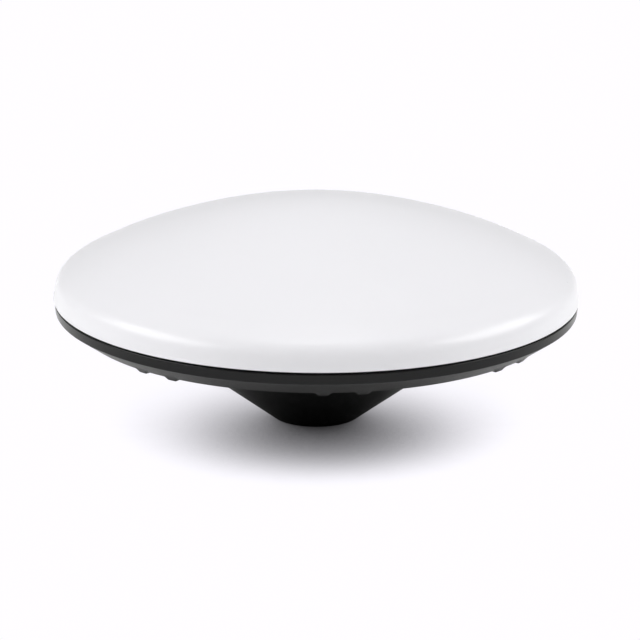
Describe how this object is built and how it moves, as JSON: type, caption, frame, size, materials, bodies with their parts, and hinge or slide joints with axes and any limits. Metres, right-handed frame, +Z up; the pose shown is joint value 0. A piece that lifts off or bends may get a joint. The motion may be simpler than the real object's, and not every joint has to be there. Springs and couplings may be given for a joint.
{
  "type": "gnss receiver",
  "caption": "Domed survey receiver head: white radome on a black funnel-shaped base with a threaded pole socket underneath and a capped round socket at the back.",
  "frame": {"origin": "antenna reference point: the centre of the neck's end face, where the head sits on its pole", "axes": "+Z up along the pole towards the sky, +Y to the back where the cable socket is, +X to the right"},
  "size_m": [0.152, 0.152, 0.0641],
  "materials": {
    "radome": "smooth white radome, lightly glossy",
    "housing": "fine-grained black moulding",
    "rubber": "black rubber",
    "steel": "stainless, turned",
    "nickel": "nickel-plated",
    "contact": "gold-plated",
    "insulator": "moulded, off-white",
    "aluminium": "bare sheet",
    "substrate": "cream antenna laminate",
    "copper": "bare copper foil",
    "board": "green solder mask",
    "nylon": "natural nylon",
    "jacket": "black jacket",
    "label": "blank foil label"
  },
  "bodies": {
    "receiver_head": {"radome": "radome", "rim_seal": "rubber", "base_housing": "housing", "pole_thread_insert": "steel", "housing_screw_1": "steel", "housing_screw_2": "steel", "housing_screw_3": "steel", "housing_screw_4": "steel", "housing_screw_5": "steel", "housing_screw_6": "steel", "housing_screw_7": "steel", "housing_screw_8": "steel", "socket_shell": "nickel", "socket_insulator": "insulator", "socket_contact_1": "contact", "socket_contact_2": "contact", "socket_contact_3": "contact", "socket_contact_4": "contact", "socket_contact_5": "contact", "socket_seal": "rubber", "socket_washer": "steel", "socket_nut": "nickel", "ground_plane": "aluminium", "lower_patch_substrate": "substrate", "lower_patch_plate": "copper", "upper_patch_substrate": "substrate", "upper_patch_plate": "copper", "patch_screw": "nylon", "patch_nut": "nylon", "feed_pin_1": "contact", "feed_pin_2": "contact", "feed_pin_3": "contact", "feed_pin_4": "contact", "ground_screw_1": "steel", "ground_screw_2": "steel", "ground_screw_3": "steel", "ground_screw_4": "steel", "receiver_board": "board", "standoff_1": "nickel", "board_screw_1": "steel", "standoff_2": "nickel", "board_screw_2": "steel", "standoff_3": "nickel", "board_screw_3": "steel", "standoff_4": "nickel", "board_screw_4": "steel", "amplifier_shield": "nickel", "receiver_shield": "nickel", "board_header": "insulator", "lead_plug": "insulator", "internal_lead": "jacket", "blank_label": "label"},
    "dust_cap": {"dust_cap": "rubber"}
  },
  "joints": [
    {"name": "dust_cap_pull", "type": "slide", "parent": "receiver_head", "child": "dust_cap", "axis": [0, 0.6046, -0.7965], "range_m": [0, 0.0078]}
  ]
}
